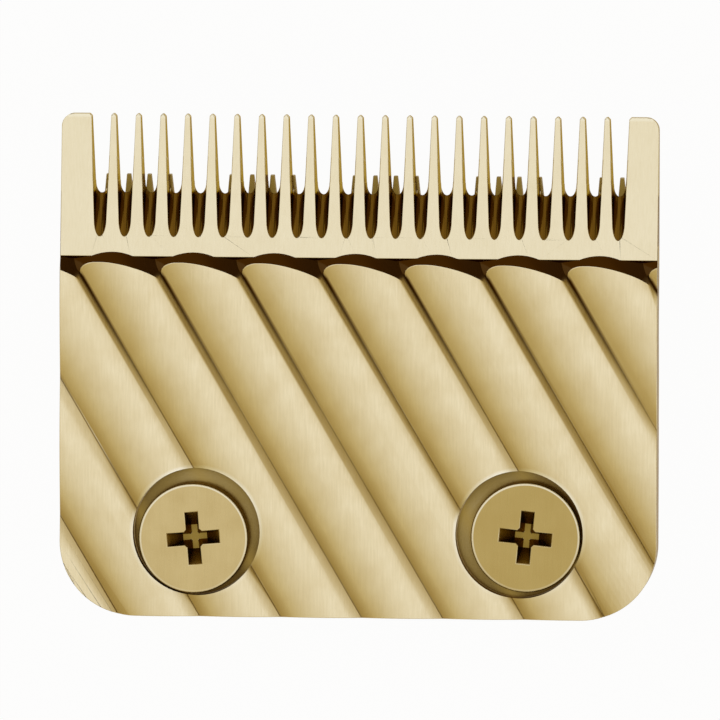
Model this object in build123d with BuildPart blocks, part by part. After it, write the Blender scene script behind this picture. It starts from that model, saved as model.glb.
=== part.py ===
from build123d import *
import os
from math import atan2, cos, degrees, radians, sin, tan

# Two-screw hair clipper blade set: a ridged comb blade, the cutter that slides behind it and two screws.
# X runs across the teeth, +Y points to the tooth tips and +Z out of the ridged face.
# The origin lies midway between the screw holes, on the comb blade's flat rear face.

# Comb blade outline
blade_width = 46.0
tip_reach = 32.05
heel_reach = 6.55
heel_corner_radius = 4.5
tip_corner_radius = 1.0

# Tooth land, a flat bevel that thins towards the tips
tip_thickness = 0.5
land_thickness = 2.0
tip_nose_break = 0.22

# Comb teeth, the gaps between them and the groove that runs out of each gap
comb_pitch = 1.9
end_tooth_width = 2.1
comb_tip_width = 0.52
comb_root_width = 1.0
comb_tip_rounding = 0.18
comb_flank_draft = 6.0
gap_depth = 6.1
groove_run = 3.3

# Slanted ridges, each ending above the tooth land in a fingertip with sloping walls
ridge_pitch = 6.257
ridge_slant = 59.5
valley_offset = -3.5
crest_rise = 0.42
ridge_fall = 0.36
valley_depth = 0.37
right_wall_angle = 23.0
left_wall_angle = 40.0
fingertip_angle = 41.0
fingertip_centre = 15.9
fingertip_reach = 5.05
fingertip_corner = 0.8

# Trench between the fingertips and the rear edge of the tooth land
land_start = 20.95
trench_depth = 0.45

# Screw holes, with room to shift the blade on its screws
hole_edge_distance = 10.56
hole_radius = 2.7
counterbore_radius = 4.91
counterbore_floor = 1.2

# Rear face: the track ground for the cutter, and the hollow between its two bearing strips
track_depth = 0.1
track_gap = 0.5
hollow_front = 19.5
hollow_rear = 12.5
hollow_depth = 0.3

# Cutter, and how far to the right it was left on its track
cutter_rest = 0.32
cutter_inset = 2.4
cutter_tip_setback = 4.68
cutter_length = 18.6
cutter_thickness = 1.9
cutter_tip_thickness = 0.5
cutter_bevel_run = 5.2
cutter_pitch_ratio = 5 / 6
cutter_tip_width = 0.3
cutter_root_width = 0.84
cutter_tooth_depth = 3.4
cutter_rail_width = 2.6
cutter_hollow_depth = 0.4
running_clearance = 0.03
cutter_corner_radius = 1.2

# Drive slot and spring sockets in the cutter
drive_slot_width = 5.0
drive_slot_length = 6.4
drive_slot_corner = 0.9
spring_socket_radius = 1.1
spring_socket_spacing = 18.0
spring_socket_depth = 0.8

# Screws, with the place of each one in its hole
head_radius = 4.24
head_height = 1.3
head_edge_break = 0.25
neck_radius = 1.7
neck_length = 1.5
shank_radius = 2.0
shank_length = 8.5
shank_point = 0.5
recess_span = 4.08
recess_arm = 1.0
recess_core = 1.7
recess_depth = 1.6
recess_taper = 0.45
left_shift = (-0.22, -0.49)
left_turn = 5.0
right_shift = (0.5, -0.18)
right_turn = -5.5

# Heights and places that follow from the sizes above
crest_level = land_thickness + crest_rise
tip_level = track_depth + tip_thickness
land_slope = (land_thickness - tip_level) / (tip_reach - land_start)
gap_root = tip_reach - gap_depth
groove_end = gap_root - groove_run
groove_end_rise = tip_thickness + (tip_reach - groove_end) * land_slope
ramp_angle = degrees(atan2(groove_end_rise, groove_run))
comb_gaps = int((blade_width - 2 * end_tooth_width) / comb_pitch)
groove_radius = (comb_pitch - comb_root_width) / 2
cut_margin = 1.0
hole_spacing = blade_width - 2 * hole_edge_distance
cutter_width = blade_width - 2 * cutter_inset
cutter_tip = tip_reach - cutter_tip_setback
cutter_heel = cutter_tip - cutter_length
track_start = cutter_heel - track_gap
cutter_pitch = comb_pitch * cutter_pitch_ratio
cutter_teeth = int(cutter_width / cutter_pitch)

os.makedirs("parts", exist_ok=True)

# One comb gap with its run-out groove, as the milling cutter leaves it
ramp_back = (groove_radius + cut_margin / 2) / sin(radians(ramp_angle))
ramp_length = groove_run / cos(radians(ramp_angle))
ramp_rise = (0, -cos(radians(ramp_angle)), sin(radians(ramp_angle)))
ramp_start = (
    0,
    gap_root + ramp_back * cos(radians(ramp_angle)),
    track_depth - ramp_back * sin(radians(ramp_angle)),
)
ramp_wall_height = groove_radius + land_thickness + cut_margin
ramp_wall_half = groove_radius + ramp_wall_height * tan(radians(comb_flank_draft))

root_line = gap_root + groove_radius / sin(radians(ramp_angle))
flare_line = tip_reach - comb_tip_rounding
front_line = tip_reach + cut_margin

with BuildPart() as comb_gap:
    for level in (-cut_margin, land_thickness):
        widening = 2 * level * tan(radians(comb_flank_draft))
        root_half = (comb_pitch - comb_root_width + widening) / 2
        mouth_half = (comb_pitch - comb_tip_width + widening) / 2
        flare_half = mouth_half + comb_tip_rounding
        with BuildSketch(Plane.XY.offset(level)):
            with BuildLine():
                Polyline(
                    (0, root_line),
                    (root_half, root_line),
                    (mouth_half, flare_line),
                    (flare_half, tip_reach),
                    (flare_half, front_line),
                    (0, front_line),
                )
                mirror(about=Plane.YZ)
            make_face()
    loft(ruled=True)
    with BuildSketch(Plane(origin=ramp_start, x_dir=(1, 0, 0), z_dir=ramp_rise)):
        with BuildLine():
            floor_arc = ThreePointArc(
                (-groove_radius, groove_radius),
                (0, 0),
                (groove_radius, groove_radius),
            )
            Polyline(
                floor_arc @ 1,
                (ramp_wall_half, ramp_wall_height),
                (-ramp_wall_half, ramp_wall_height),
                floor_arc @ 0,
            )
        make_face()
    extrude(amount=ramp_back + ramp_length)

# Fingers of the comb blade: the plan of each ridge, with walls that slope out from its crest to its foot.
# The gentle right wall steepens as it runs on round the fingertip to the short left wall.
ridge_start = -heel_reach - ridge_pitch
slant_shift = 1 / tan(radians(ridge_slant))
along = Vector(-cos(radians(ridge_slant)), sin(radians(ridge_slant)))
across = Vector(sin(radians(ridge_slant)), cos(radians(ridge_slant)))
ridge_width = ridge_pitch * sin(radians(ridge_slant))
ridges_left = int((blade_width / 2 + valley_offset - ridge_start * slant_shift) / ridge_pitch) + 1
ridges_right = int((blade_width / 2 + tip_reach * slant_shift - valley_offset) / ridge_pitch) + 1
ridge_base = land_thickness - trench_depth
finger_top = crest_level + crest_rise / 5

with BuildPart() as fingers:
    for ridge in range(-ridges_left, ridges_right):
        valley = valley_offset + ridge * ridge_pitch
        heel = Vector(valley - ridge_start * slant_shift, ridge_start)
        centre = Vector(valley - fingertip_centre * slant_shift, fingertip_centre)
        for level in (ridge_base, finger_top):
            depth = crest_level - level
            right_edge = ridge_width + (depth - valley_depth) / tan(radians(right_wall_angle))
            left_edge = (valley_depth - depth) / tan(radians(left_wall_angle))
            tip_edge = fingertip_reach + depth / tan(radians(fingertip_angle))
            left_tip = centre + across * left_edge + along * tip_edge
            with BuildSketch(Plane.XY.offset(level)):
                with BuildLine():
                    right_side = Line(heel + across * right_edge, centre + across * right_edge)
                    TangentArc(right_side @ 1, left_tip, tangent=right_side % 1)
                    Polyline(left_tip, heel + across * left_edge, right_side @ 0)
                make_face()
                fillet(vertices().sort_by_distance(left_tip)[0], radius=fingertip_corner)
        loft(ruled=True)

# Ridged body of the comb blade: a row of arched backs along the slant, kept where the fingers stand
ridge_length = (tip_reach - ridge_start) / sin(radians(ridge_slant))

with BuildPart() as ridged_body:
    with BuildSketch(Plane(origin=(valley_offset, 0, 0), x_dir=across, z_dir=-along)):
        with BuildLine():
            for ridge in range(-ridges_left, ridges_right):
                ThreePointArc(
                    (ridge * ridge_width, crest_level - ridge_fall),
                    ((ridge + 0.5) * ridge_width, crest_level),
                    ((ridge + 1) * ridge_width, crest_level - ridge_fall),
                )
            Polyline(
                (-ridges_left * ridge_width, crest_level - ridge_fall),
                (-ridges_left * ridge_width, ridge_base),
                (ridges_right * ridge_width, ridge_base),
                (ridges_right * ridge_width, crest_level - ridge_fall),
            )
        make_face()
    extrude(amount=ridge_length, both=True)
    add(fingers.part, mode=Mode.INTERSECT)

# Comb blade: ridged body and bevelled tooth land in one plate, cut to its outline, toothed and bored
with BuildPart() as fixed_blade:
    with BuildSketch(Plane.YZ):
        with BuildLine():
            Polyline(
                (-heel_reach, 0),
                (track_start, 0),
                (track_start, track_depth),
                (tip_reach, track_depth),
                (tip_reach, tip_level),
                (land_start, land_thickness),
                (land_start, ridge_base),
                (-heel_reach, ridge_base),
                close=True,
            )
        make_face()
        nose = vertices().group_by(Axis.Y)[-1].sort_by(Axis.Z)[-1]
        chamfer(nose, length=tip_nose_break)
    extrude(amount=blade_width / 2, both=True)
    add(ridged_body.part)
    with BuildSketch():
        with Locations((0, (tip_reach - heel_reach) / 2)):
            Rectangle(blade_width, tip_reach + heel_reach)
        fillet(vertices().group_by(Axis.Y)[-1], radius=tip_corner_radius)
        fillet(vertices().group_by(Axis.Y)[0], radius=heel_corner_radius)
    extrude(amount=crest_level + cut_margin, mode=Mode.INTERSECT)
    with GridLocations(comb_pitch, 0, comb_gaps, 1):
        add(comb_gap.part, mode=Mode.SUBTRACT)
    with Locations((-hole_spacing / 2, 0, crest_level), (hole_spacing / 2, 0, crest_level)):
        CounterBoreHole(
            radius=hole_radius,
            counter_bore_radius=counterbore_radius,
            counter_bore_depth=crest_level - counterbore_floor,
        )
    with BuildSketch(Plane.YZ):
        with BuildLine():
            ThreePointArc(
                (hollow_rear, track_depth),
                ((hollow_rear + hollow_front) / 2, track_depth + hollow_depth),
                (hollow_front, track_depth),
            )
            Line((hollow_front, track_depth), (hollow_rear, track_depth))
        make_face()
    extrude(amount=blade_width / 2, both=True, mode=Mode.SUBTRACT)
fixed_blade.part.label = "fixed_blade"
export_step(fixed_blade.part, "parts/fixed_blade.step")

# Cutter: a hollow-ground plate with fine teeth, a drive slot and two sockets for the spring's ends
cutter_face = track_depth - running_clearance
cutter_back = cutter_face - cutter_thickness
cutter_root_half = (cutter_pitch - cutter_root_width) / 2
cutter_root = cutter_tip - cutter_tooth_depth
rear_rail_edge = cutter_heel + cutter_rail_width
front_rail_edge = cutter_root - cutter_rail_width
drive_middle = (rear_rail_edge + front_rail_edge) / 2
cutter_mouth_half = (cutter_pitch - cutter_tip_width) / 2
cutter_plane = Plane(origin=(cutter_rest, 0, cutter_back))

with BuildSketch() as cutter_gap:
    with BuildLine():
        Polyline(
            (cutter_root_half / 2, cutter_root),
            (cutter_root_half, cutter_root + cutter_root_half),
            (cutter_mouth_half, cutter_tip),
            (-cutter_mouth_half, cutter_tip),
            (-cutter_root_half, cutter_root + cutter_root_half),
            (-cutter_root_half / 2, cutter_root),
            close=True,
        )
    make_face()

with BuildPart() as cutter:
    with BuildSketch(Plane.YZ.offset(cutter_rest)):
        with BuildLine():
            Polyline(
                (front_rail_edge, cutter_face),
                (cutter_tip, cutter_face),
                (cutter_tip, cutter_face - cutter_tip_thickness),
                (cutter_tip - cutter_bevel_run, cutter_back),
                (cutter_heel, cutter_back),
                (cutter_heel, cutter_face),
                (rear_rail_edge, cutter_face),
            )
            ThreePointArc(
                (rear_rail_edge, cutter_face),
                (drive_middle, cutter_face - cutter_hollow_depth),
                (front_rail_edge, cutter_face),
            )
        make_face()
    extrude(amount=cutter_width / 2, both=True)
    heel_corners = edges().filter_by(Axis.Z).group_by(Axis.Y)[0]
    fillet(heel_corners, radius=cutter_corner_radius)
    with BuildSketch(cutter_plane):
        with GridLocations(cutter_pitch, 0, cutter_teeth + 1, 1):
            add(cutter_gap.sketch)
    extrude(amount=cutter_thickness, mode=Mode.SUBTRACT)
    with BuildSketch(cutter_plane):
        with Locations((0, drive_middle)):
            RectangleRounded(drive_slot_width, drive_slot_length, drive_slot_corner)
    extrude(amount=cutter_thickness, mode=Mode.SUBTRACT)
    with BuildSketch(cutter_plane):
        with Locations(
            (-spring_socket_spacing / 2, drive_middle),
            (spring_socket_spacing / 2, drive_middle),
        ):
            Circle(spring_socket_radius)
    extrude(amount=spring_socket_depth, mode=Mode.SUBTRACT)
cutter.part.label = "cutter"
export_step(cutter.part, "parts/cutter.step")


def cross_outline(scale):
    """Draw the plan of a cross recess, its wings and flared core shrunk by a scale."""
    Rectangle(recess_span * scale, recess_arm * scale)
    Rectangle(recess_arm * scale, recess_span * scale)
    Rectangle(recess_core * scale, recess_core * scale, rotation=45)


def screw_axis(side, shift, turn):
    """Give the plane of a screw's head seat, turned as the screw was left."""
    seat = Plane(origin=(side * hole_spacing / 2 + shift[0], shift[1], counterbore_floor))
    return seat.rotated((0, 0, turn))


# Left screw: flat pan head with a cross recess, on the floor of the left counterbore
left_seat = screw_axis(-1, left_shift, left_turn)
with BuildPart() as left_screw:
    with BuildSketch(left_seat):
        Circle(head_radius)
    extrude(amount=head_height)
    chamfer(edges().group_by(Axis.Z)[-1], length=head_edge_break)
    with BuildSketch(left_seat):
        Circle(neck_radius)
    extrude(amount=-neck_length)
    with BuildSketch(left_seat.offset(-neck_length)):
        Circle(shank_radius)
    extrude(amount=neck_length - shank_length)
    chamfer(edges().group_by(Axis.Z)[0], length=shank_point)
    with BuildSketch(left_seat.offset(head_height)):
        cross_outline(1)
    with BuildSketch(left_seat.offset(head_height - recess_depth)):
        cross_outline(recess_taper)
    loft(ruled=True, mode=Mode.SUBTRACT)
left_screw.part.label = "left_screw"
export_step(left_screw.part, "parts/left_screw.step")

# Right screw: the same screw in the right counterbore
right_seat = screw_axis(1, right_shift, right_turn)
with BuildPart() as right_screw:
    add(left_seat.to_local_coords(left_screw.part).moved(right_seat.location))
right_screw.part.label = "right_screw"
export_step(right_screw.part, "parts/right_screw.step")
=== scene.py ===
import bmesh
import bpy
import math
from mathutils import Matrix, Vector


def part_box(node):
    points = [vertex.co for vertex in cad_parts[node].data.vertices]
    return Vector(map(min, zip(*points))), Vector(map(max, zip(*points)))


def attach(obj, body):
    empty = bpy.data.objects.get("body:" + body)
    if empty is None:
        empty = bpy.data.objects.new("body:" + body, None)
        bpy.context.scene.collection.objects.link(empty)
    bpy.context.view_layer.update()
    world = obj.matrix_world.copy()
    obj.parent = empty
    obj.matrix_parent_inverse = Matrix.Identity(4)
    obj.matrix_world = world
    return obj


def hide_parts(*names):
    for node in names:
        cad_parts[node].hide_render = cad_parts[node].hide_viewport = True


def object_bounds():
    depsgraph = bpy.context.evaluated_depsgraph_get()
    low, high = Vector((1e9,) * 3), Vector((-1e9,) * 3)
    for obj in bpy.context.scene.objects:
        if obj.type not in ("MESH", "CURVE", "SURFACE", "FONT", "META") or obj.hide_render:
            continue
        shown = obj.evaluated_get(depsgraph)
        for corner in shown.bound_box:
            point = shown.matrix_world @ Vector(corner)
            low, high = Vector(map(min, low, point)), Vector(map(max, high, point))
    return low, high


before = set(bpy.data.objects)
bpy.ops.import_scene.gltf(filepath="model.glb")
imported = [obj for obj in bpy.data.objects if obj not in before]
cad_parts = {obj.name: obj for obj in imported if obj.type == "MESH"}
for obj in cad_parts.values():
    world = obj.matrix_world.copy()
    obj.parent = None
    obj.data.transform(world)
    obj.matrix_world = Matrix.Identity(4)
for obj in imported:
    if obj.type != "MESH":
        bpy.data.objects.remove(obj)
cad_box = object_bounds()


# Comb blade: the outer, fixed blade of the set. It is one steel plate, forged with slanted ridges,
# ground flat on its tooth land and milled between its teeth. Tumbling rounds its edges, and a satin
# coating gives it a pale gold tone.
mm = 0.001
ridge_slant = math.radians(59.5)
ridge_pitch = 6.257 * mm * math.sin(ridge_slant)
ridge_run = Vector((-math.cos(ridge_slant), math.sin(ridge_slant), 0))
hole_places = (Vector((-12.44 * mm, 0)), Vector((12.44 * mm, 0)))
counterbore_radius = 4.91 * mm
land_start = 20.95 * mm
heel_round = 5.8 * mm
heel_trim_steps = 20
comb_edge_round = 0.05 * mm
join_tolerance = 0.0005 * mm
trim_tolerance = 0.0001 * mm
land_tolerance = 0.01 * mm
rim_tolerance = 0.03 * mm
flat_angle = math.radians(0.2)
blend_angle = math.radians(10)
corner_angle = math.radians(20)
soft_angle = math.radians(30)
crisp_angle = math.radians(40)
soft_length = 3 * mm
soft_match = 0.999


def bench_copy(node, name, trims=(), soft_run=Vector()):
    """Copy a CAD node's mesh to a new piece, joined and trimmed at planes. Its faces are smooth and
    the edges between them crisp, apart from long edges along one direction, which are softer."""
    bpy.ops.object.select_all(action="DESELECT")
    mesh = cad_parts[node].data.copy()
    mesh.name = name
    mesh.materials.clear()
    piece = bpy.data.objects.new(name, mesh)
    bpy.context.scene.collection.objects.link(piece)
    piece.select_set(True)
    bpy.context.view_layer.objects.active = piece
    bpy.ops.object.mode_set(mode="EDIT")
    bpy.ops.mesh.select_mode(type="EDGE")
    bpy.ops.mesh.select_all(action="DESELECT")
    bpy.ops.mesh.select_non_manifold()
    bpy.ops.mesh.mark_sharp()
    bpy.ops.mesh.select_all(action="SELECT")
    bpy.ops.mesh.customdata_custom_splitnormals_clear()
    bpy.ops.mesh.remove_doubles(threshold=join_tolerance)
    bpy.ops.mesh.faces_shade_smooth()
    for place, direction in trims:
        bpy.ops.mesh.select_all(action="SELECT")
        bpy.ops.mesh.bisect(
            plane_co=place,
            plane_no=direction,
            use_fill=True,
            clear_outer=True,
            threshold=trim_tolerance,
        )
    joined = bmesh.from_edit_mesh(mesh)
    for edge in joined.edges:
        if not edge.is_manifold:
            continue
        run = edge.verts[1].co - edge.verts[0].co
        is_soft = run.length > soft_length and abs(run.normalized().dot(soft_run)) > soft_match
        if edge.calc_face_angle() < (soft_angle if is_soft else blend_angle):
            edge.smooth = True
        elif edge.calc_face_angle() > crisp_angle:
            edge.smooth = False
    for face in joined.faces:
        face.smooth = any(
            edge.smooth and edge.calc_face_angle(0) > flat_angle for edge in face.edges
        )
    bmesh.update_edit_mesh(mesh)
    bpy.ops.object.mode_set(mode="OBJECT")
    return piece


def stays_crisp(edge):
    """Tell whether an edge is the tooth land's rear edge or a counterbore's rim, which the last
    grinding leaves crisp."""
    points = [corner.co for corner in edge.verts]
    at_land = all(abs(point.y - land_start) < land_tolerance for point in points)
    at_rim = any(
        all(
            abs((point.xy - hole).length - counterbore_radius) < rim_tolerance
            for point in points
        )
        for hole in hole_places
    )
    return at_land or at_rim


def tumble_edges(piece, width, left_crisp=lambda edge: False):
    """Round a piece's outer corners as tumbling does, and mark the new faces as edges that the
    material paints paler, as wear and as painted highlights.
    """
    mesh = piece.data
    corners = bmesh.new()
    corners.from_mesh(mesh)
    share = corners.edges.layers.float.new("bevel_weight_edge")
    for edge in corners.edges:
        is_corner = (
            edge.is_manifold and edge.is_convex and edge.calc_face_angle() > corner_angle
        )
        if is_corner and not left_crisp(edge):
            edge[share] = 1
    corners.to_mesh(mesh)
    corners.free()
    bpy.context.view_layer.objects.active = piece
    mesh.materials.append(None)
    mesh.materials.append(None)
    rounding = piece.modifiers.new("tumbled edges", "BEVEL")
    rounding.width = width
    rounding.segments = 2
    rounding.limit_method = "WEIGHT"
    rounding.use_clamp_overlap = False
    rounding.miter_outer = "MITER_ARC"
    rounding.harden_normals = True
    rounding.material = 1
    bpy.ops.object.modifier_apply(modifier=rounding.name)
    worn = mesh.attributes.new("worn_lit_edge", "FLOAT", "FACE")
    for face in mesh.polygons:
        worn.data[face.index].value = face.material_index
        face.material_index = 0
    mesh.materials.clear()


heel_low, heel_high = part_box("fixed_blade")
heel_trims = []
for side in (-1, 1):
    middle = Vector((side * (heel_high.x - heel_round), heel_low.y + heel_round, 0))
    for step in range(heel_trim_steps):
        swing = math.pi / 2 * (step + 0.5) / heel_trim_steps
        outward = Vector((side * math.cos(swing), -math.sin(swing), 0))
        heel_trims.append((middle + outward * heel_round, outward))
comb_blade = bench_copy("fixed_blade", "comb_blade", heel_trims, ridge_run)
tumble_edges(comb_blade, comb_edge_round, stays_crisp)


def new_group(name, inputs, outputs):
    """Start a shader node group with named inputs and outputs of the given kinds."""
    group = bpy.data.node_groups.new(name, "ShaderNodeTree")
    for socket, kind in inputs:
        group.interface.new_socket(socket, in_out="INPUT", socket_type=kind)
    for socket, kind in outputs:
        group.interface.new_socket(socket, in_out="OUTPUT", socket_type=kind)
    start = group.nodes.new("NodeGroupInput")
    end = group.nodes.new("NodeGroupOutput")
    return group, start, end


# Satin grain, shared by all the coated steel: fine streaks along one direction and a soft mottling
streak_scale = (9000, 450, 9000)
streak_detail = 4.0
mottle_scale = 420.0
mottle_detail = 5.0

grain, grain_in, grain_out = new_group(
    "satin_grain",
    [("Place", "NodeSocketVector"), ("Turn", "NodeSocketVector")],
    [("Streaks", "NodeSocketFloat"), ("Mottling", "NodeSocketFloat")],
)
turned = grain.nodes.new("ShaderNodeMapping")
turned.inputs["Scale"].default_value = streak_scale
streak_noise = grain.nodes.new("ShaderNodeTexNoise")
streak_noise.inputs["Scale"].default_value = 1.0
streak_noise.inputs["Detail"].default_value = streak_detail
mottle_noise = grain.nodes.new("ShaderNodeTexNoise")
mottle_noise.inputs["Scale"].default_value = mottle_scale
mottle_noise.inputs["Detail"].default_value = mottle_detail
grain.links.new(grain_in.outputs["Place"], turned.inputs["Vector"])
grain.links.new(grain_in.outputs["Turn"], turned.inputs["Rotation"])
grain.links.new(turned.outputs["Vector"], streak_noise.inputs["Vector"])
grain.links.new(grain_in.outputs["Place"], mottle_noise.inputs["Vector"])
grain.links.new(streak_noise.outputs["Fac"], grain_out.inputs["Streaks"])
grain.links.new(mottle_noise.outputs["Fac"], grain_out.inputs["Mottling"])

# Edge wear and painted highlight, shared by all the coated steel: the tumbled edges rubbed paler,
# in broken patches, which also stands in for highlights along them
patch_scale = 900.0
patch_detail = 3.0
patch_span = (0.35, 0.6)
patch_least = 0.25

wear_highlight, wear_highlight_in, wear_highlight_out = new_group(
    "edge_wear_highlight",
    [("Place", "NodeSocketVector"), ("Edge", "NodeSocketFloat")],
    [("Worn", "NodeSocketFloat")],
)
patch_noise = wear_highlight.nodes.new("ShaderNodeTexNoise")
patch_noise.inputs["Scale"].default_value = patch_scale
patch_noise.inputs["Detail"].default_value = patch_detail
patches = wear_highlight.nodes.new("ShaderNodeMapRange")
patches.inputs["From Min"].default_value = patch_span[0]
patches.inputs["From Max"].default_value = patch_span[1]
patches.inputs["To Min"].default_value = patch_least
rubbed = wear_highlight.nodes.new("ShaderNodeMath")
rubbed.operation = "MULTIPLY"
wear_highlight.links.new(wear_highlight_in.outputs["Place"], patch_noise.inputs["Vector"])
wear_highlight.links.new(patch_noise.outputs["Fac"], patches.inputs["Value"])
wear_highlight.links.new(patches.outputs["Result"], rubbed.inputs[0])
wear_highlight.links.new(wear_highlight_in.outputs["Edge"], rubbed.inputs[1])
wear_highlight.links.new(rubbed.outputs["Value"], wear_highlight_out.inputs["Worn"])


def map_range(material, source, low, high, at_low, at_high):
    """Turn a value of a material into another one that runs between two limits."""
    scale = material.node_tree.nodes.new("ShaderNodeMapRange")
    scale.inputs["From Min"].default_value = low
    scale.inputs["From Max"].default_value = high
    scale.inputs["To Min"].default_value = at_low
    scale.inputs["To Max"].default_value = at_high
    material.node_tree.links.new(source, scale.inputs["Value"])
    return scale.outputs["Result"]


def overlay(material, mask, colour):
    """Lay a colour over a material's base colour where a mask is high."""
    nodes = material.node_tree.nodes
    links = material.node_tree.links
    base = nodes["Principled BSDF"].inputs["Base Color"]
    layer = nodes.new("ShaderNodeMix")
    layer.data_type = "RGBA"
    layer.inputs["B"].default_value = colour
    links.new(mask, layer.inputs["Factor"])
    if base.links:
        links.new(base.links[0].from_socket, layer.inputs["A"])
    else:
        layer.inputs["A"].default_value = base.default_value
    links.new(layer.outputs["Result"], base)


# Coated steel, as all four pieces have it: mottled and streaked by the satin finish, with painted
# shade as a deeper tone on steep sides and a darker one in corners, and rubbed paler at its edges,
# which also paints highlights along them
grazing_gold = (0.45, 0.31, 0.08, 1)
recess_shade_gold = (0.36, 0.25, 0.055, 1)
corner_shade_brown = (0.06, 0.028, 0.004, 1)
steep_shade_gold = (0.36, 0.24, 0.055, 1)
worn_highlight_gold = (0.92, 0.86, 0.68, 1)
mottle_span = (0.35, 0.75)
mottle_share = 0.25
streak_span = (0.3, 0.7)
streak_depth = 0.02 * mm
corner_reach = 2.0 * mm
corner_samples = 8
recess_shade_span = (0.55, 0.92)
recess_shade_share = 0.9
corner_shade_span = (0.2, 0.6)
corner_shade_share = 0.95
steep_span = (0.2, 0.45)
steep_share = 0.85
worn_highlight_share = 0.6
roughness_swing = 0.06


def coated_steel(name, pale, deep, turn, roughness, streaks):
    """Make a gold-toned satin steel whose grain runs at a turn about Z."""
    material = bpy.data.materials.new(name)
    material.use_nodes = True
    nodes = material.node_tree.nodes
    links = material.node_tree.links
    shader = nodes["Principled BSDF"]
    shader.inputs["Metallic"].default_value = 1.0
    shader.inputs["Specular Tint"].default_value = grazing_gold
    shader.inputs["Base Color"].default_value = pale
    place = nodes.new("ShaderNodeTexCoord")
    satin = nodes.new("ShaderNodeGroup")
    satin.node_tree = grain
    satin.inputs["Turn"].default_value = (0, 0, turn)
    links.new(place.outputs["Object"], satin.inputs["Place"])
    mottled = map_range(material, satin.outputs["Mottling"], *mottle_span, 0, mottle_share)
    overlay(material, mottled, deep)
    streaked = map_range(material, satin.outputs["Streaks"], *streak_span, 0, streaks)
    overlay(material, streaked, deep)
    # Painted shade: corners and recesses that the occlusion node finds hemmed in are laid over with
    # a deeper gold, then a dark brown.
    corner = nodes.new("ShaderNodeAmbientOcclusion")
    corner.samples = corner_samples
    corner.inputs["Distance"].default_value = corner_reach
    recess_shade = map_range(material, corner.outputs["AO"], *recess_shade_span, recess_shade_share, 0)
    overlay(material, recess_shade, recess_shade_gold)
    corner_shade = map_range(material, corner.outputs["AO"], *corner_shade_span, corner_shade_share, 0)
    overlay(material, corner_shade, corner_shade_brown)
    # Painted shade: steep sides are laid over with a deeper gold.
    facing = nodes.new("ShaderNodeSeparateXYZ")
    links.new(place.outputs["Normal"], facing.inputs["Vector"])
    steepness = nodes.new("ShaderNodeMath")
    steepness.operation = "ABSOLUTE"
    links.new(facing.outputs["Z"], steepness.inputs[0])
    steep = map_range(material, steepness.outputs["Value"], *steep_span, steep_share, 0)
    overlay(material, steep, steep_shade_gold)
    # Wear and painted highlight: the tumbled edges are laid over with a pale gold, in broken
    # patches.
    edge = nodes.new("ShaderNodeAttribute")
    edge.attribute_name = "worn_lit_edge"
    rubbing_highlight = nodes.new("ShaderNodeGroup")
    rubbing_highlight.node_tree = wear_highlight
    links.new(place.outputs["Object"], rubbing_highlight.inputs["Place"])
    links.new(edge.outputs["Fac"], rubbing_highlight.inputs["Edge"])
    overlay(material, map_range(material, rubbing_highlight.outputs["Worn"], 0, 1, 0, worn_highlight_share), worn_highlight_gold)
    smoothest = roughness - roughness_swing
    roughest = roughness + roughness_swing
    sheen = map_range(material, satin.outputs["Streaks"], 0, 1, smoothest, roughest)
    links.new(sheen, shader.inputs["Roughness"])
    relief = nodes.new("ShaderNodeBump")
    relief.inputs["Strength"].default_value = streaks / 2
    relief.inputs["Distance"].default_value = streak_depth
    links.new(satin.outputs["Streaks"], relief.inputs["Height"])
    links.new(relief.outputs["Normal"], shader.inputs["Normal"])
    return material


def shared(material, first, *others):
    """Keep what several masks of a material have in common."""
    for other in others:
        product = material.node_tree.nodes.new("ShaderNodeMath")
        product.operation = "MULTIPLY"
        material.node_tree.links.new(first, product.inputs[0])
        material.node_tree.links.new(other, product.inputs[1])
        first = product.outputs["Value"]
    return first


ring_edge = 0.06 * mm
ring_least = 0.2


def highlight_ring(material, middle, inner, outer, colour):
    """Lay a painted highlight over a ring round an upright axis, strongest at its inner radius and
    on the teeth's side."""
    nodes = material.node_tree.nodes
    links = material.node_tree.links
    place = nodes.new("ShaderNodeTexCoord")
    in_plan = nodes.new("ShaderNodeVectorMath")
    in_plan.operation = "MULTIPLY"
    in_plan.inputs[1].default_value = (1, 1, 0)
    reach = nodes.new("ShaderNodeVectorMath")
    reach.operation = "DISTANCE"
    reach.inputs[1].default_value = middle.to_3d()
    axes = nodes.new("ShaderNodeSeparateXYZ")
    links.new(place.outputs["Object"], in_plan.inputs[0])
    links.new(place.outputs["Object"], axes.inputs["Vector"])
    links.new(in_plan.outputs["Vector"], reach.inputs[0])
    ring_side = (middle.y - inner, middle.y + inner / 2)
    ring = shared(
        material,
        map_range(material, reach.outputs["Value"], inner, outer, 1, 0),
        map_range(material, reach.outputs["Value"], inner - ring_edge, inner, 0, 1),
        map_range(material, axes.outputs["Y"], *ring_side, ring_least, 1),
    )
    overlay(material, ring, colour)


# The comb blade's own finish: its tooth land is freshly ground and paler. The trench behind it, the
# walls of the fingertips and the run-out grooves are darkened with painted shade. Painted shade
# also lays an olive tone beside the valleys towards the heel, and a dark line in each valley near
# the fingertips.
comb_pale_gold = (0.87, 0.77, 0.54, 1)
comb_deep_gold = (0.62, 0.47, 0.20, 1)
ground_gold = (0.88, 0.81, 0.62, 1)
rim_highlight_gold = (0.97, 0.93, 0.80, 1)
groove_shade_brown = (0.27, 0.16, 0.03, 1)
wall_shade_brown = (0.09, 0.036, 0.004, 1)
trench_shade_brown = (0.05, 0.018, 0.0012, 1)
valley_shade_olive = (0.42, 0.29, 0.07, 1)
crease_shade_brown = (0.10, 0.045, 0.005, 1)
comb_roughness = 0.2
comb_streaks = 0.12
comb_turn = math.pi / 2 - ridge_slant
ground_share = 0.6
dark_share = 0.95
upward_span = (0.5, 0.6)
fingertip_foot = 22.2 * mm
land_edge = 0.1 * mm
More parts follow.
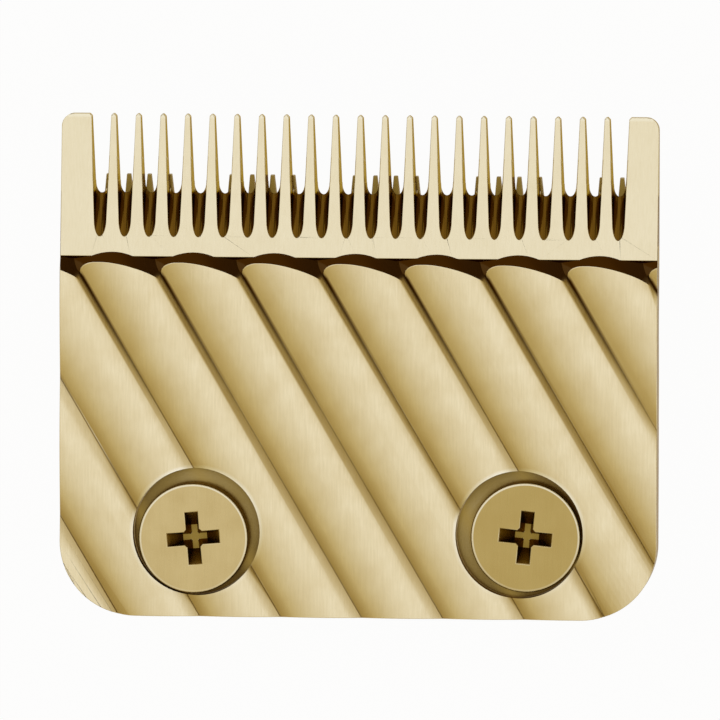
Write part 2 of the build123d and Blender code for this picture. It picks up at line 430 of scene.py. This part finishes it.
groove_span = (0.90, 0.96)
groove_end = (26.0 * mm, 26.2 * mm)
wall_span = (0.23, 0.30)
wall_fade = (8 * mm, 18 * mm)
corner_span = (0.90, 0.93)
corner_fade = (18 * mm, 19 * mm)
trench_rise = (1.57 * mm, 1.63 * mm)
trench_fade = (18.5 * mm, 18.7 * mm)
tip_highlight = (31.7 * mm, 31.85 * mm)
tip_highlight_share = 0.9
rim_radius = 5.2 * mm
valley_offset = -3.5 * mm
olive_width = 0.17
olive_share = 0.5
olive_fade = (14 * mm, 2 * mm)
crease_shade_width = (0.012, 0.045)
crease_shade_fade = (9 * mm, 19 * mm)
crease_shade_end = (19.6 * mm, 20.2 * mm)

comb_gold = coated_steel(
    "comb_gold", comb_pale_gold, comb_deep_gold, comb_turn, comb_roughness, comb_streaks
)
comb_nodes = comb_gold.node_tree.nodes
comb_links = comb_gold.node_tree.links
comb_place = comb_nodes.new("ShaderNodeTexCoord")
comb_axes = comb_nodes.new("ShaderNodeSeparateXYZ")
comb_facing = comb_nodes.new("ShaderNodeSeparateXYZ")
comb_leaning = comb_nodes.new("ShaderNodeMath")
comb_leaning.operation = "ABSOLUTE"
comb_links.new(comb_place.outputs["Object"], comb_axes.inputs["Vector"])
comb_links.new(comb_place.outputs["Normal"], comb_facing.inputs["Vector"])
comb_links.new(comb_facing.outputs["Y"], comb_leaning.inputs[0])


def along_comb(start, end, at_start, at_end):
    """Make a mask on the comb blade that changes between two places from its heel to its tips."""
    return map_range(comb_gold, comb_axes.outputs["Y"], start, end, at_start, at_end)


def facing_up(low, high, at_low, at_high):
    """Make a mask on the comb blade that changes with how far its faces point up."""
    return map_range(comb_gold, comb_facing.outputs["Z"], low, high, at_low, at_high)


overlay(comb_gold, along_comb(land_start - land_edge, land_start, 0, ground_share), ground_gold)
# Painted shade: the floors of the run-out grooves are laid over with a dark brown.
groove = shared(
    comb_gold,
    facing_up(*groove_span, 1, 0),
    along_comb(fingertip_foot, fingertip_foot + land_edge, 0, 1),
    along_comb(*groove_end, 1, 0),
)
overlay(comb_gold, groove, groove_shade_brown)
on_top = facing_up(*upward_span, 0, 1)
behind_land = along_comb(fingertip_foot - land_edge, fingertip_foot, 1, 0)
# Painted shade: the walls of the fingertips, facing the teeth, are laid over with a dark brown.
fingertip_wall_shade = shared(
    comb_gold,
    map_range(comb_gold, comb_leaning.outputs["Value"], *wall_span, 0, dark_share),
    on_top,
    along_comb(*wall_fade, 0, 1),
    behind_land,
)
overlay(comb_gold, fingertip_wall_shade, wall_shade_brown)
fingertip_corner_shade = shared(
    comb_gold,
    facing_up(*corner_span, dark_share, 0),
    on_top,
    along_comb(*corner_fade, 0, 1),
    behind_land,
)
overlay(comb_gold, fingertip_corner_shade, wall_shade_brown)
# Painted shade: the trench behind the tooth land is laid over with a darker brown.
trench = shared(
    comb_gold,
    map_range(comb_gold, comb_axes.outputs["Z"], *trench_rise, dark_share, 0),
    along_comb(*trench_fade, 0, 1),
    behind_land,
    on_top,
)
overlay(comb_gold, trench, trench_shade_brown)
# Painted highlight: a pale band along the tips of the teeth.
overlay(comb_gold, along_comb(*tip_highlight, 0, tip_highlight_share), worn_highlight_gold)
# Painted highlight: a pale ring round each counterbore's rim.
for hole in hole_places:
    highlight_ring(comb_gold, hole, counterbore_radius, rim_radius, rim_highlight_gold)
across = comb_nodes.new("ShaderNodeVectorMath")
across.operation = "DOT_PRODUCT"
across.inputs[1].default_value = (
    math.sin(ridge_slant) / ridge_pitch,
    math.cos(ridge_slant) / ridge_pitch,
    0,
)
comb_links.new(comb_place.outputs["Object"], across.inputs[0])
ridge_count = comb_nodes.new("ShaderNodeMath")
ridge_count.operation = "SUBTRACT"
ridge_count.inputs[1].default_value = valley_offset * math.sin(ridge_slant) / ridge_pitch
comb_links.new(across.outputs["Value"], ridge_count.inputs[0])
from_valley = comb_nodes.new("ShaderNodeMath")
from_valley.operation = "PINGPONG"
from_valley.inputs[1].default_value = 0.5
comb_links.new(ridge_count.outputs["Value"], from_valley.inputs[0])
# Painted shade: an olive band beside each valley, stronger towards the heel.
olive = shared(
    comb_gold,
    map_range(comb_gold, from_valley.outputs["Value"], 0, olive_width, olive_share, 0),
    along_comb(*olive_fade, 0, 1),
)
overlay(comb_gold, olive, valley_shade_olive)
# Painted shade: a dark line in each valley near the fingertips.
crease_shade = shared(
    comb_gold,
    map_range(comb_gold, from_valley.outputs["Value"], *crease_shade_width, 1, 0),
    along_comb(*crease_shade_fade, 0, 1),
    along_comb(*crease_shade_end, 1, 0),
)
overlay(comb_gold, crease_shade, crease_shade_brown)
comb_blade.data.materials.append(comb_gold)
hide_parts("fixed_blade")
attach(comb_blade, "comb")


# Cutter: the inner, moving blade. It is a flat plate of hardened steel, hollow ground on its face,
# with finer teeth, a slot for the drive arm and a socket for each end of the spring. It slides
# behind the comb blade.
# Its gold is darker than the comb blade's: painted shade for lying behind the comb's teeth.
cutter_shaded_pale_gold = (0.46, 0.35, 0.14, 1)
cutter_shaded_deep_gold = (0.30, 0.20, 0.06, 1)
cutter_edge_round = 0.04 * mm
cutter_roughness = 0.25
cutter_streaks = 0.12

cutter_blade = bench_copy("cutter", "cutter_blade")
tumble_edges(cutter_blade, cutter_edge_round)
cutter_shaded_gold = coated_steel(
    "cutter_shaded_gold", cutter_shaded_pale_gold, cutter_shaded_deep_gold, 0, cutter_roughness, cutter_streaks
)
cutter_blade.data.materials.append(cutter_shaded_gold)
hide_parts("cutter")
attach(cutter_blade, "cutter")


# Screws: two M4 pan screws with a cross recess, cold headed, thread rolled and coated like the
# blade. They hold the comb blade down on the clipper's housing, each a little off the middle of its
# hole.
# The left screw's gold is paler and the right one's deeper: one coating painted as a lit and a
# shaded copy.
left_screw_lit_pale = (0.72, 0.59, 0.32, 1)
right_screw_shaded_pale = (0.56, 0.43, 0.17, 1)
screw_deep_gold = (0.45, 0.31, 0.09, 1)
screw_roughness = 0.26
screw_streaks = 0.04
left_grain_turn = 0.6
right_grain_turn = 1.9
screw_edge_round = 0.06 * mm
screw_turn = math.radians(10.5)
level_tolerance = 0.01 * mm
head_top = 2.5 * mm
head_edge_reach = 3.94 * mm
head_edge_spread = 1.045
head_ring_start = 4.05 * mm
head_ring_end = 4.3 * mm
recess_fade = (head_top - 0.5 * mm, head_top - 0.3 * mm)
recess_shade_depth_share = 0.6
shank_top = -0.3 * mm
neck_length = 1 * mm
neck_reach = 1.75 * mm
thread_core = 0.81
thread_crest = 2.0 * mm
thread_size = 0.28 * mm
thread_pitch = 0.7 * mm
thread_turns = 8
thread_steps = 24
thread_corners = 3
thread_start = -6.6 * mm


def screw_middle(node):
    """Give the middle of a screw, in plan."""
    low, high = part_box(node)
    return (low + high).to_2d() / 2


def spread_points(piece, middle, share, chosen):
    """Scale the chosen points of a turned piece in plan, about its middle."""
    bpy.ops.object.select_all(action="DESELECT")
    piece.select_set(True)
    bpy.context.view_layer.objects.active = piece
    bpy.ops.object.mode_set(mode="EDIT")
    bpy.ops.mesh.select_mode(type="VERT")
    bpy.ops.mesh.select_all(action="DESELECT")
    points = bmesh.from_edit_mesh(piece.data)
    for point in points.verts:
        point.select_set(chosen(point.co.z, (point.co.xy - middle).length))
    points.select_flush(True)
    bmesh.update_edit_mesh(piece.data)
    bpy.ops.transform.resize(value=(share, share, 1), center_override=(middle.x, middle.y, 0))
    bpy.ops.object.mode_set(mode="OBJECT")


def on_shank(level, reach):
    """Tell whether a point lies on a screw's shank, below its neck or on the outside of it."""
    return level < shank_top + level_tolerance and (
        level < shank_top - neck_length or reach > neck_reach
    )


def on_head_edge(level, reach):
    """Tell whether a point lies on the edge of a screw head's flat top."""
    return level > head_top - level_tolerance and reach > head_edge_reach


left_middle = screw_middle("left_screw")
right_middle = screw_middle("right_screw")
left_pan_screw = bench_copy("left_screw", "left_pan_screw")
spread_points(left_pan_screw, left_middle, thread_core, on_shank)
spread_points(left_pan_screw, left_middle, head_edge_spread, on_head_edge)
tumble_edges(left_pan_screw, screw_edge_round)

bpy.ops.object.select_all(action="DESELECT")
bpy.ops.mesh.primitive_circle_add(
    vertices=thread_corners,
    radius=thread_size,
    location=(thread_crest - thread_size, 0, 0),
    rotation=(math.pi / 2, math.pi / 2, 0),
)
thread = bpy.context.object
thread.name = "thread"
bpy.ops.object.transform_apply(location=True, rotation=True, scale=True)
winding = thread.modifiers.new("winding", "SCREW")
winding.axis = "Z"
winding.screw_offset = thread_pitch
winding.iterations = thread_turns
winding.steps = thread_steps
winding.render_steps = thread_steps
winding.use_smooth_shade = False
bpy.ops.object.modifier_apply(modifier=winding.name)
bpy.ops.object.mode_set(mode="EDIT")
bpy.ops.mesh.select_mode(type="EDGE")
bpy.ops.mesh.select_all(action="DESELECT")
bpy.ops.mesh.select_non_manifold()
bpy.ops.mesh.fill_holes(sides=thread_corners)
bpy.ops.mesh.select_all(action="SELECT")
bpy.ops.mesh.normals_make_consistent(inside=False)
bpy.ops.transform.translate(value=(left_middle.x, left_middle.y, thread_start))
bpy.ops.object.mode_set(mode="OBJECT")
left_pan_screw.select_set(True)
bpy.context.view_layer.objects.active = left_pan_screw
bpy.ops.object.join()

right_pan_screw = bpy.data.objects.new("right_pan_screw", left_pan_screw.data.copy())
bpy.context.scene.collection.objects.link(right_pan_screw)
bpy.ops.object.select_all(action="DESELECT")
right_pan_screw.select_set(True)
bpy.context.view_layer.objects.active = right_pan_screw
bpy.ops.object.mode_set(mode="EDIT")
bpy.ops.mesh.select_all(action="SELECT")
bpy.ops.transform.rotate(
    value=screw_turn,
    orient_axis="Z",
    center_override=(left_middle.x, left_middle.y, 0),
)
bpy.ops.transform.translate(value=(right_middle - left_middle).to_3d())
bpy.ops.object.mode_set(mode="OBJECT")

for screw, node, pale, turn in (
    (left_pan_screw, "left_screw", left_screw_lit_pale, left_grain_turn),
    (right_pan_screw, "right_screw", right_screw_shaded_pale, right_grain_turn),
):
    screw_gold = coated_steel(
        node + "_gold", pale, screw_deep_gold, turn, screw_roughness, screw_streaks
    )
    screw_place = screw_gold.node_tree.nodes.new("ShaderNodeTexCoord")
    screw_axes = screw_gold.node_tree.nodes.new("ShaderNodeSeparateXYZ")
    screw_gold.node_tree.links.new(screw_place.outputs["Object"], screw_axes.inputs["Vector"])
    # Painted shade: the cross recess is a deeper gold the further down it goes.
    sunk_shade = map_range(screw_gold, screw_axes.outputs["Z"], *recess_fade, recess_shade_depth_share, 0)
    overlay(screw_gold, sunk_shade, recess_shade_gold)
    # Painted highlight: a pale ring round the edge of the head's top.
    highlight_ring(screw_gold, screw_middle(node), head_ring_start, head_ring_end, rim_highlight_gold)
    screw.data.materials.append(screw_gold)
    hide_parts(node)
    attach(screw, "comb")


# Table: a plain white sheet under the screws' ends. It is lit to white where it is seen or
# mirrored, and keeps the blade's soft shadow.
table_size = 3.0
sheet_white = (0.9, 0.9, 0.9, 1)
sheet_roughness = 0.9
glow_white = (1, 1, 1, 1)
glow_most = 0.96

bpy.ops.object.select_all(action="DESELECT")
bpy.ops.mesh.primitive_plane_add(size=table_size, location=(0, 0, cad_box[0].z))
table = bpy.context.object
table.name = "white_table"
sheet = bpy.data.materials.new("white_sheet")
sheet.use_nodes = True
sheet_nodes = sheet.node_tree.nodes
sheet_links = sheet.node_tree.links
sheet_shader = sheet_nodes["Principled BSDF"]
sheet_shader.inputs["Base Color"].default_value = sheet_white
sheet_shader.inputs["Roughness"].default_value = sheet_roughness
sheet_glow = sheet_nodes.new("ShaderNodeEmission")
sheet_glow.inputs["Color"].default_value = glow_white
sheet_path = sheet_nodes.new("ShaderNodeLightPath")
seen_or_mirrored = sheet_nodes.new("ShaderNodeMath")
seen_or_mirrored.operation = "MAXIMUM"
seen_at_all = sheet_nodes.new("ShaderNodeMath")
seen_at_all.operation = "MAXIMUM"
glow_share = sheet_nodes.new("ShaderNodeMath")
glow_share.operation = "MULTIPLY"
glow_share.inputs[1].default_value = glow_most
sheet_mix = sheet_nodes.new("ShaderNodeMixShader")
sheet_links.new(sheet_path.outputs["Is Camera Ray"], seen_or_mirrored.inputs[0])
sheet_links.new(sheet_path.outputs["Is Glossy Ray"], seen_or_mirrored.inputs[1])
sheet_links.new(seen_or_mirrored.outputs[0], seen_at_all.inputs[0])
sheet_links.new(sheet_path.outputs["Is Transmission Ray"], seen_at_all.inputs[1])
sheet_links.new(seen_at_all.outputs[0], glow_share.inputs[0])
sheet_links.new(glow_share.outputs[0], sheet_mix.inputs["Fac"])
sheet_links.new(sheet_shader.outputs["BSDF"], sheet_mix.inputs[1])
sheet_links.new(sheet_glow.outputs["Emission"], sheet_mix.inputs[2])
sheet_links.new(sheet_mix.outputs["Shader"], sheet_nodes["Material Output"].inputs["Surface"])
table.data.materials.append(sheet)


# Studio light: a wide soft panel overhead, brightest a little towards the teeth and ending sharply
# on that side. Around it, walls of one warm tone light the blade's sides evenly.
panel_lean = Vector((0.6, 0.8, 0)).normalized()
panel_tones = (
    (-1, (0.38, 0.26, 0.06, 1)),
    (-0.60, (0.42, 0.31, 0.09, 1)),
    (-0.43, (0.60, 0.50, 0.26, 1)),
    (-0.27, (0.74, 0.68, 0.52, 1)),
    (-0.12, (0.84, 0.80, 0.70, 1)),
    (0.06, (0.96, 0.95, 0.92, 1)),
    (0.24, (0.97, 0.96, 0.94, 1)),
    (0.31, (0.74, 0.64, 0.38, 1)),
    (0.37, (0.44, 0.33, 0.085, 1)),
    (0.46, (0.20, 0.125, 0.02, 1)),
    (0.55, (0.14, 0.08, 0.012, 1)),
    (0.70, (0.06, 0.024, 0.003, 1)),
    (1, (0.06, 0.024, 0.003, 1)),
)
wall_tone = (0.52, 0.43, 0.24, 1)
wall_height = (0.78, 0.62)

world = bpy.data.worlds.new("studio")
bpy.context.scene.world = world
world.use_nodes = True
world_nodes = world.node_tree.nodes
world_links = world.node_tree.links
sky_place = world_nodes.new("ShaderNodeTexCoord")
sky_lean = world_nodes.new("ShaderNodeVectorMath")
sky_lean.operation = "DOT_PRODUCT"
sky_lean.inputs[1].default_value = panel_lean
sky_range = world_nodes.new("ShaderNodeMapRange")
sky_range.inputs["From Min"].default_value = panel_tones[0][0]
sky_range.inputs["From Max"].default_value = panel_tones[-1][0]
sky_ramp = world_nodes.new("ShaderNodeValToRGB")
stops = sky_ramp.color_ramp.elements
stops[0].color = panel_tones[0][1]
stops[1].color = panel_tones[-1][1]
for lean, tone in panel_tones[1:-1]:
    stops.new((lean + 1) / 2).color = tone
sky_height = world_nodes.new("ShaderNodeSeparateXYZ")
wall_share = world_nodes.new("ShaderNodeMapRange")
wall_share.inputs["From Min"].default_value = wall_height[0]
wall_share.inputs["From Max"].default_value = wall_height[1]
warm_walls = world_nodes.new("ShaderNodeMix")
warm_walls.data_type = "RGBA"
warm_walls.inputs["B"].default_value = wall_tone
world_links.new(sky_place.outputs["Generated"], sky_lean.inputs[0])
world_links.new(sky_lean.outputs["Value"], sky_range.inputs["Value"])
world_links.new(sky_range.outputs["Result"], sky_ramp.inputs["Fac"])
world_links.new(sky_place.outputs["Generated"], sky_height.inputs["Vector"])
world_links.new(sky_height.outputs["Z"], wall_share.inputs["Value"])
world_links.new(wall_share.outputs["Result"], warm_walls.inputs["Factor"])
world_links.new(sky_ramp.outputs["Color"], warm_walls.inputs["A"])
world_links.new(warm_walls.outputs["Result"], world_nodes["Background"].inputs["Color"])


# Camera: far above the blade with a long lens, leaning a little to the blade's right and to its
# teeth, and turned a little, so that the blade lies as photographed
image_size = 720
pixel = 0.07676 * mm
origin_pixel = (357.4, 533.5)
sensor_width = 36
nearest_seen = 0.01
camera_distance = 1.2
camera_slope = math.tan(math.radians(5))
camera_lean = Vector((camera_slope, camera_slope, 1)).normalized()
camera_turn = math.radians(0.11)

blade_up = Vector((-math.sin(camera_turn), math.cos(camera_turn), 0))
image_right = blade_up.cross(camera_lean).normalized()
image_up = camera_lean.cross(image_right)
image_middle = Vector((0, 0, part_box("fixed_blade")[1].z))
image_middle += image_right * (image_size / 2 - origin_pixel[0]) * pixel
image_middle += image_up * (origin_pixel[1] - image_size / 2) * pixel
camera_data = bpy.data.cameras.new("camera")
camera_data.sensor_width = sensor_width
camera_data.lens = sensor_width * camera_distance / (image_size * pixel)
camera_data.clip_start = nearest_seen
camera = bpy.data.objects.new("camera", camera_data)
camera.location = image_middle + camera_lean * camera_distance
camera.rotation_euler = Matrix((image_right, image_up, camera_lean)).transposed().to_euler()
bpy.context.scene.collection.objects.link(camera)
bpy.context.scene.camera = camera
bpy.context.scene.view_settings.view_transform = "Standard"
